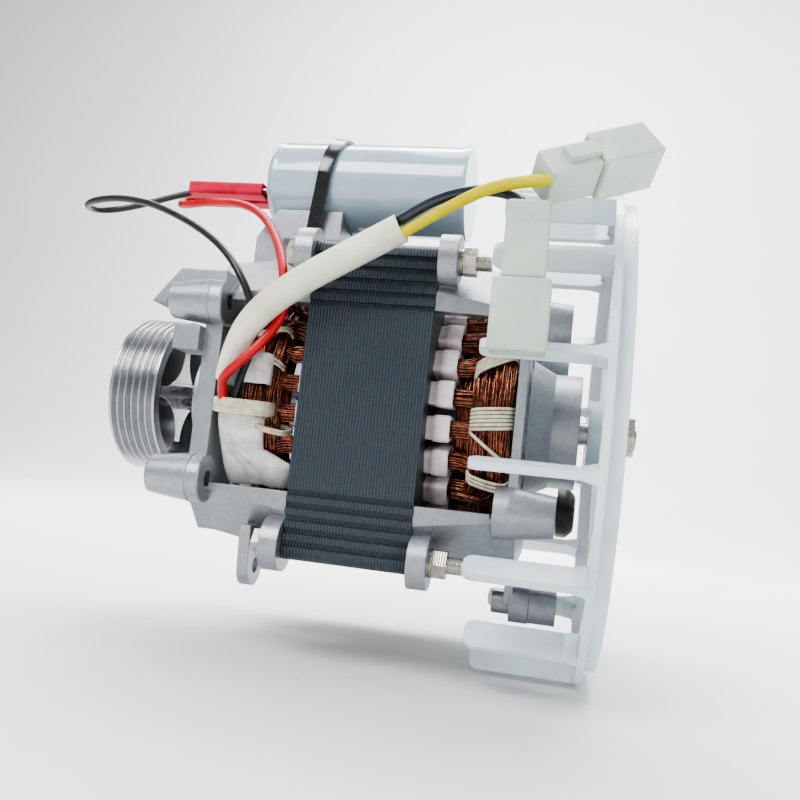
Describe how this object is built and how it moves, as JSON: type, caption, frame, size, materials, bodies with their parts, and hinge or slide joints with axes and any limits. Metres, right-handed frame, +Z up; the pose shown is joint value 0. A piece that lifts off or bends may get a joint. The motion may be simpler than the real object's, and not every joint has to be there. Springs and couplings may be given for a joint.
{
  "type": "washing machine motor",
  "caption": "Open-frame washing machine motor with run capacitor, ribbed belt pulley, bladed cooling fan and flying leads with connectors.",
  "frame": {"origin": "on the shaft's axis, in the plane of the drive-end mounting faces", "axes": "+X along the shaft from the pulley to the fan, +Z up through the capacitor, +Y away from the side with the leads"},
  "size_m": [0.2109, 0.1786, 0.1871],
  "materials": {
    "lamination_steel": "dark blue-grey lacquer over stacked laminations",
    "insulating_film": "pale pink film, matte",
    "enamelled_copper": "glossy enamelled copper wire",
    "white_cloth": "white woven tape",
    "cast_aluminium": "satin die casting",
    "cage_aluminium": "as cast",
    "machined_aluminium": "turned, bright",
    "black_rubber": "moulded rubber",
    "zinc_steel": "zinc plated",
    "bearing_steel": "ground steel",
    "shaft_steel": "ground steel",
    "milky_plastic": "milky translucent polypropylene",
    "grey_plastic": "glossy pale blue-grey",
    "tinned_brass": "tinned",
    "black_plastic": "nylon tie",
    "red_plastic": "soft red vinyl",
    "black_insulation": "vinyl lead",
    "red_insulation": "vinyl lead",
    "cream_sleeving": "varnished glass sleeving",
    "yellow_insulation": "vinyl lead",
    "navy_insulation": "vinyl lead",
    "natural_nylon": "natural nylon, translucent"
  },
  "bodies": {
    "root": {"stator_core": "lamination_steel", "slot_liners": "insulating_film", "slot_wedges": "insulating_film", "main_winding": "enamelled_copper", "start_winding": "enamelled_copper", "insulation_wrap": "white_cloth", "drive_end_bracket": "cast_aluminium", "fan_end_bracket": "cast_aluminium", "mounting_bush": "black_rubber", "through_bolts": "zinc_steel", "spring_washers": "zinc_steel", "through_bolt_nuts": "zinc_steel", "drive_bearing_outer_ring": "bearing_steel", "fan_bearing_outer_ring": "bearing_steel", "preload_washer": "bearing_steel", "capacitor_can": "grey_plastic", "capacitor_cap": "grey_plastic", "capacitor_tabs": "tinned_brass", "cable_tie": "black_plastic", "tab_receptacles": "tinned_brass", "tab_boots": "red_plastic", "black_lead": "black_insulation", "red_lead": "red_insulation", "lead_sleeve": "cream_sleeving", "yellow_lead": "yellow_insulation", "dark_lead": "navy_insulation", "yellow_plug": "natural_nylon", "yellow_socket": "natural_nylon", "dark_plug": "natural_nylon", "dark_socket": "natural_nylon"},
    "rotor": {"shaft": "shaft_steel", "rotor_core": "lamination_steel", "rotor_cage": "cage_aluminium", "drive_bearing_inner_ring": "bearing_steel", "fan_bearing_inner_ring": "bearing_steel", "pulley": "machined_aluminium", "cooling_fan": "milky_plastic", "fan_washer": "zinc_steel", "fan_nut": "zinc_steel"},
    "drive_balls": {"drive_bearing_balls": "bearing_steel", "drive_bearing_cage": "bearing_steel"},
    "fan_balls": {"fan_bearing_balls": "bearing_steel", "fan_bearing_cage": "bearing_steel"}
  },
  "joints": [
    {"name": "rotor_spin", "type": "hinge", "parent": "root", "child": "rotor", "pos_m": [0, 0, 0], "axis": [1, 0, 0], "continuous": true},
    {"name": "drive_balls_roll", "type": "hinge", "parent": "root", "child": "drive_balls", "pos_m": [0, 0, 0], "axis": [1, 0, 0], "continuous": true},
    {"name": "fan_balls_roll", "type": "hinge", "parent": "root", "child": "fan_balls", "pos_m": [0, 0, 0], "axis": [1, 0, 0], "continuous": true}
  ],
  "couplings": [
    {"joint": "drive_balls_roll", "follows": "rotor_spin", "ratio": 0.38},
    {"joint": "fan_balls_roll", "follows": "rotor_spin", "ratio": 0.38}
  ]
}
